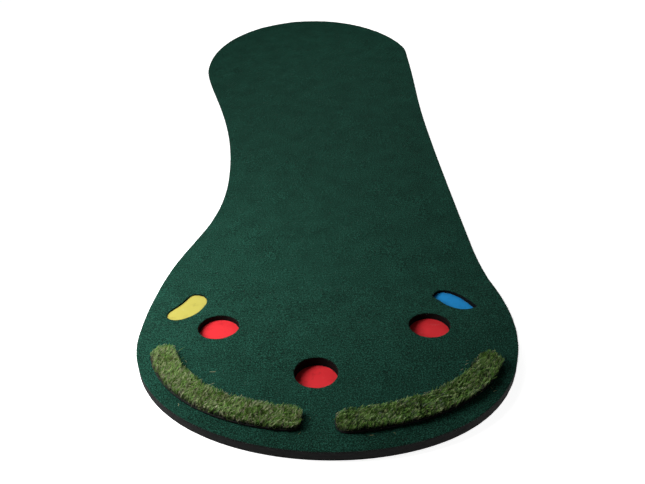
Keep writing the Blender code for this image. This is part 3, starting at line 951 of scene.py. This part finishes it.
class GREEN_OT_rough(bpy.types.Operator):
    """Tufts the two strips of long grass: backing, curled thatch and blades"""

    bl_idname = "green.rough"
    bl_label = "Tuft the long grass"

    def execute(self, context):
        settings = context.scene.green_grass
        deep, fresh, lime = settings.deep, settings.fresh, settings.lime
        straw, bark = settings.straw, settings.bark
        blade = turf_yarn(
            "polyethylene_slit_blade",
            [(0.2, deep), (0.42, fresh), (0.62, fresh), (0.8, lime), (0.95, straw)],
            0.40,
            0.5,
        )
        thatch = turf_yarn(
            "crimped_polyethylene_thatch", [(0.0, deep), (0.3, fresh), (0.6, bark), (1.0, straw)], 0.62, 0.3
        )
        latex = latex_cloth(settings)
        for number, side in enumerate(SIDES):
            draw = np.random.default_rng(60 + number)
            outline = wound(evenly(rims(f"{side}_rough_pile")[0], 0.003))
            self.backing(side, latex)
            grass = self.blades(side, outline, settings, blade, draw)
            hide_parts(f"{side}_rough_pile")
            self.thatch(side, outline, settings, thatch, draw)
        return {"FINISHED"}

    def backing(self, side, latex):
        """The coated cloth that a strip is tufted into."""
        node = f"{side}_rough_backing"
        cloth = layer(
            f"{side}_rough_cloth",
            node,
            latex,
            f"{side}_rough",
            0.005,
            0.003,
            [(0.0006, 0), (0.0001, 0.12), (0.0001, 0.5), (0.0001, 0.88), (0.0006, 1)],
            relief=waves(61, 0.008, 0.030, 0.0002),
            wander=waves(62, 0.005, 0.020, 0.0003),
        )
        lay(node, flat=cut_from(node))

    def blades(self, side, outline, settings, material, draw):
        """The upright blades, in tufts that lean with their neighbours."""
        bed = outline + inward(outline) * 0.002
        fringe = outline - inward(outline) * 0.0035
        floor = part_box(f"{side}_rough_backing")[1].z - 0.0005
        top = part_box(f"{side}_rough_pile")[1].z
        tufts = spread([bed], settings.tuft_pitch, 63, 0.0008)
        tufts += draw.normal(0, 0.0006, tufts.shape)
        each = settings.blades
        flat = np.column_stack([tufts, np.zeros(len(tufts))])
        comb = np.column_stack([waves(64 + k, 0.012, 0.060, 0.13)(flat) for k in (0, 1)])
        tuft_lean = np.array([settings.blade_lean, 0.05]) + comb + draw.normal(0, 0.13, tufts.shape)
        lean = np.repeat(tuft_lean, each, axis=0) + draw.normal(0, 0.07, (len(tufts) * each, 2))
        roots = np.repeat(tufts, each, axis=0) + draw.normal(0, 0.0005, (len(tufts) * each, 2))
        count = len(roots)
        tall = np.clip(draw.normal(0.90, 0.10, count), 0.55, 1.10) * (top - floor)
        strays = draw.random(count) < 0.012
        lean[strays] *= draw.uniform(1.3, 2.2, (strays.sum(), 1))
        escaped = ~inside(roots + lean * tall[:, None], [fringe]) & ~strays
        lean[escaped] *= draw.uniform(0.1, 0.5, (escaped.sum(), 1))
        t = np.linspace(0, 1, 4)[None, :, None]
        curl = draw.normal(0, 0.10, (count, 2))
        out = lean[:, None, :] * t**1.6 + curl[:, None, :] * np.sin(t * math.pi)
        place = roots[:, None, :] + out * tall[:, None, None]
        droop = 1 - 0.10 * (t[:, :, 0] ** 3) * np.minimum(np.linalg.norm(lean, axis=1), 1.2)[:, None]
        rise = floor + tall[:, None] * t[:, :, 0] * droop
        paths = np.concatenate([place, rise[:, :, None]], axis=2)
        widths = settings.blade_width * np.array([1.0, 1.0, 0.85, 0.3])[None, :]
        widths = widths * draw.uniform(0.65, 1.25, count)[:, None]
        pattern = yarn_pattern(3, 0.35, pointed=True)
        points, faces = shaped(pattern, paths, widths, draw.uniform(0, TURN, count))
        piece = add_piece(
            f"{side}_rough_blades", points, faces, material, f"{side}_rough", smooth=False
        )
        shared = np.repeat(draw.random(len(tufts)), each)
        # Painted light: the strips' tones are shifted paler or darker, standing in for how each strip is lit.
        tone = np.clip(0.86 * shared + 0.14 * draw.random(count) + PAINTED_LIGHT_SHIFT[side], 0, 1)
        put(piece, "tone", np.repeat(tone, len(pattern[0])))
        put(piece, "rise", np.tile(pattern[0][:, 2], count))
        return piece

    def thatch(self, side, outline, settings, material, draw):
        """The short curled yarns that fill the strip between the blades."""
        bed = outline + inward(outline) * 0.0035
        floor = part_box(f"{side}_rough_backing")[1].z
        count = int(settings.curls * THATCH_SHARE[side]) // SPARSE
        middle = draw.uniform(bed.min(0), bed.max(0), (count * 12, 2))
        middle = middle[inside(middle, [bed])][:count]
        count = len(middle)
        steps = 9
        t = np.linspace(0, 1, steps)[None, :]
        first = draw.uniform(0, TURN, count)[:, None]
        swept = draw.choice([-1, 1], count)[:, None] * draw.uniform(2.5, 6.0, count)[:, None]
        radius = draw.uniform(0.0018, 0.0042, count)[:, None] * (1 - 0.35 * t)
        drift = draw.normal(0, 0.0030, (count, 2))
        x = middle[:, :1] + radius * np.cos(first + swept * t) + drift[:, :1] * t
        y = middle[:, 1:] + radius * np.sin(first + swept * t) + drift[:, 1:] * t
        base = floor + draw.uniform(0.0008, 0.0105, count)[:, None]
        z = base + draw.uniform(0.001, 0.0045, count)[:, None] * np.sin(swept * t * 1.3 + first)
        paths = np.stack([x, y, np.maximum(z, floor + 0.0005)], axis=2)
        widths = np.full((count, steps), THATCH_YARN) * draw.uniform(0.7, 1.3, count)[:, None]
        pattern = yarn_pattern(steps - 1, 0.8, pointed=False)
        points, faces = shaped(pattern, paths, widths, draw.uniform(0, TURN, count))
        piece = add_piece(f"{side}_rough_thatch", points, faces, material, f"{side}_rough")
        put(piece, "tone", np.repeat(draw.random(count), len(pattern[0])))
        # Painted shade: thatch lower down is darkened through its rise, for the shade down in the strip.
        high_up = (points[:, 2] - floor) / 0.012
        put(piece, "rise", np.clip(0.45 + 0.5 * high_up, 0, 1))


class GREEN_OT_hooks(bpy.types.Operator):
    """Moulds the hook pads that hold the strips to the felt"""

    bl_idname = "green.hooks"
    bl_label = "Mould the hook pads"

    def execute(self, context):
        nylon = moulded_nylon()
        pattern, faces = hook_pattern()
        for side in SIDES:
            for number in (1, 2, 3):
                self.pad(f"{side}_rough_hook_dot_{number}", pattern, faces, nylon, f"{side}_rough")
        return {"FINISHED"}

    def pad(self, node, pattern, pattern_faces, nylon, body):
        """A round plate with rounded rims and rows of hooks hanging from it."""
        low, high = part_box(node)
        radius = (high.x - low.x) / 2
        middle = (low + high) / 2
        thick = (high.z - low.z) * PLATE_SHARE
        under = high.z - thick
        deselect()
        bpy.ops.mesh.primitive_cylinder_add(
            vertices=48, radius=radius, depth=thick, location=(middle.x, middle.y, high.z - thick / 2)
        )
        plate = bpy.context.object
        bpy.ops.object.transform_apply(location=True)
        bpy.ops.object.mode_set(mode="EDIT")
        bpy.ops.mesh.select_all(action="SELECT")
        bpy.ops.mesh.bevel(offset=thick * 0.3, segments=2)
        bpy.ops.object.mode_set(mode="OBJECT")
        plate_points, faces = take(plate)
        angles = np.linspace(0, TURN, 40)[:-1]
        rim = np.column_stack([np.cos(angles), np.sin(angles)]) * radius * 0.9
        seats = spread([rim], HOOK_PITCH, 71, 0.0005) + np.array(middle[:2])
        headings = np.random.default_rng(72).choice([0, math.pi], len(seats))
        points = [plate_points]
        total = len(plate_points)
        for seat, angle in zip(seats, headings):
            c, s = math.cos(angle), math.sin(angle)
            hook = pattern @ np.array([[c, s, 0], [-s, c, 0], [0, 0, 1]]) * ((under - low.z) / HOOK_DEPTH)
            points.append(hook + np.array([seat[0], seat[1], under]))
            faces += [[corner + total for corner in face] for face in pattern_faces]
            total += len(hook)
        piece = add_piece(node.replace("dot", "pad"), np.vstack(points), faces, nylon, body)
        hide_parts(node)


class GREEN_OT_clippings(bpy.types.Operator):
    """Drops a few shed blades and crumbs of thatch on the felt beside the strips"""

    bl_idname = "green.clippings"
    bl_label = "Drop the clippings"

    def execute(self, context):
        settings = context.scene.green_grass
        relief = waves(*FELT_WAVES, context.scene.green_felt.cockle)
        dry = turf_yarn("dry_polyethylene_clipping", [(0, settings.bark), (1, settings.straw)], 0.6, 0.3)
        draw = np.random.default_rng(81)
        fabric = [ring[:, :2] for ring in rims("turf_sheet")]
        edge = np.vstack([evenly(ring, 0.004) for ring in fabric])
        for side in SIDES:
            low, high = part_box(f"{side}_rough_pile")
            corners = (low.x - 0.03, low.y - 0.02), (high.x + 0.03, high.y + 0.05)
            spots = draw.uniform(*corners, (CLIPPINGS * 6, 2))
            outline = evenly(rims(f"{side}_rough_pile")[0], 0.004)
            spots = spots[~inside(spots, [outline]) & inside(spots, fabric)]
            spots = spots[near(spots, outline, 0.022) & ~near(spots, outline, 0.006)]
            spots = spots[~near(spots, edge, 0.012)]
            spots = spots[:CLIPPINGS]
            if side == "left":
                spots = np.vstack([[LARGEST[:2]], spots])
            count = len(spots)
            reach = draw.uniform(0.004, 0.011, count)
            turn = draw.uniform(0, TURN, count)
            if side == "left":
                reach[0], turn[0] = LARGEST[2:]
            x, y = bowed(spots, turn, reach, draw.normal(0, 0.0012, count))
            z = FELT_TOP + over(x, y, relief) + 0.0006
            widths = np.array([1.0, 1.2, 1.0, 0.5])[None, :] * draw.uniform(0.0006, 0.0013, count)[:, None]
            pattern = yarn_pattern(3, 0.35, pointed=True)
            paths = np.stack([x, y, z], axis=2)
            points, faces = shaped(pattern, paths, widths, draw.uniform(0, TURN, count))
            piece = add_piece(f"{side}_clippings", points, faces, dry, "mat", smooth=False)
            put(piece, "tone", np.repeat(0.45 * draw.random(count), len(pattern[0])))
            put(piece, "rise", np.ones(len(points)))
        return {"FINISHED"}


class GREEN_OT_stage(bpy.types.Operator):
    """Sets up the pale floor, the soft lights and the camera"""

    bl_idname = "green.stage"
    bl_label = "Set the stage"

    def execute(self, context):
        settings = context.scene.green_studio
        scene = context.scene
        deselect()
        bpy.ops.mesh.primitive_grid_add(x_subdivisions=8, y_subdivisions=8, size=24, location=(0, 3, 0))
        sweep = context.object
        sweep.name = "studio_floor"
        bpy.ops.object.transform_apply(location=True)
        sweep.data.materials.append(matt_paper(settings))
        scene.world = bpy.data.worlds.new("studio")
        scene.world.use_nodes = True
        background = scene.world.node_tree.nodes["Background"]
        background.inputs["Color"].default_value = shade(1)
        background.inputs["Strength"].default_value = settings.fill
        self.lamp("key_light", (-0.88, -1.0, 0.89), (0.0, 0.2, 0.0), 0.7, settings.key)
        self.lamp("back_light", (0.0, 1.2, 1.35), (0.0, -0.3, 0.0), 0.9, settings.back)
        lens = bpy.data.cameras.new("camera")
        camera = bpy.data.objects.new("camera", lens)
        scene.collection.objects.link(camera)
        right = np.array([1, 0, 0])
        ahead = np.array([0, math.cos(CAMERA_PITCH), -math.sin(CAMERA_PITCH)])
        up = np.array([0, math.sin(CAMERA_PITCH), math.cos(CAMERA_PITCH)])
        across = math.cos(CAMERA_ROLL) * right + math.sin(CAMERA_ROLL) * up
        upward = math.cos(CAMERA_ROLL) * up - math.sin(CAMERA_ROLL) * right
        axes = Matrix([across, upward, -ahead]).transposed().to_4x4()
        camera.matrix_world = Matrix.Translation(CAMERA_PLACE) @ axes
        lens.sensor_width = SENSOR_WIDTH
        lens.lens = FOCAL_LENGTH
        lens.clip_end = 60
        scene.camera = camera
        scene.view_settings.view_transform = "Standard"
        return {"FINISHED"}

    def lamp(self, name, place, aim, size, power):
        """A square soft light that faces a point."""
        data = bpy.data.lights.new(name, "AREA")
        data.size = size
        data.energy = power
        light = bpy.data.objects.new(name, data)
        bpy.context.scene.collection.objects.link(light)
        light.visible_camera = False
        facing = (Vector(place) - Vector(aim)).to_track_quat("Z", "Y")
        light.matrix_world = Matrix.Translation(place) @ facing.to_matrix().to_4x4()


OPERATORS = (
    GREEN_OT_felt,
    GREEN_OT_foam,
    GREEN_OT_floors,
    GREEN_OT_rough,
    GREEN_OT_hooks,
    GREEN_OT_clippings,
    GREEN_OT_stage,
)


class GREEN_PT_panel(bpy.types.Panel):
    """Lists the settings and the steps that build the putting mat"""

    bl_label = "Putting mat"
    bl_idname = "GREEN_PT_panel"
    bl_space_type = "VIEW_3D"
    bl_region_type = "UI"
    bl_category = "Putting mat"

    def draw(self, context):
        for name, group in SETTINGS.items():
            box = self.layout.box()
            box.label(text=name.replace("_", " ").capitalize())
            for setting in group.__annotations__:
                box.prop(getattr(context.scene, name), setting)
        for operator in OPERATORS:
            self.layout.operator(operator.bl_idname)


def register():
    """Makes the settings, the operators and the panel known to Blender."""
    for name, group in SETTINGS.items():
        bpy.utils.register_class(group)
        setattr(bpy.types.Scene, name, PointerProperty(type=group))
    for operator in (*OPERATORS, GREEN_PT_panel):
        bpy.utils.register_class(operator)


def unregister():
    """Takes them out again, the last first."""
    for operator in (GREEN_PT_panel, *reversed(OPERATORS)):
        bpy.utils.unregister_class(operator)
    for name, group in reversed(SETTINGS.items()):
        delattr(bpy.types.Scene, name)
        bpy.utils.unregister_class(group)


def main():
    """Builds every piece in order."""
    register()
    for operator in OPERATORS:
        getattr(bpy.ops.green, operator.bl_idname.split(".")[1])()


if __name__ == "__main__":
    main()
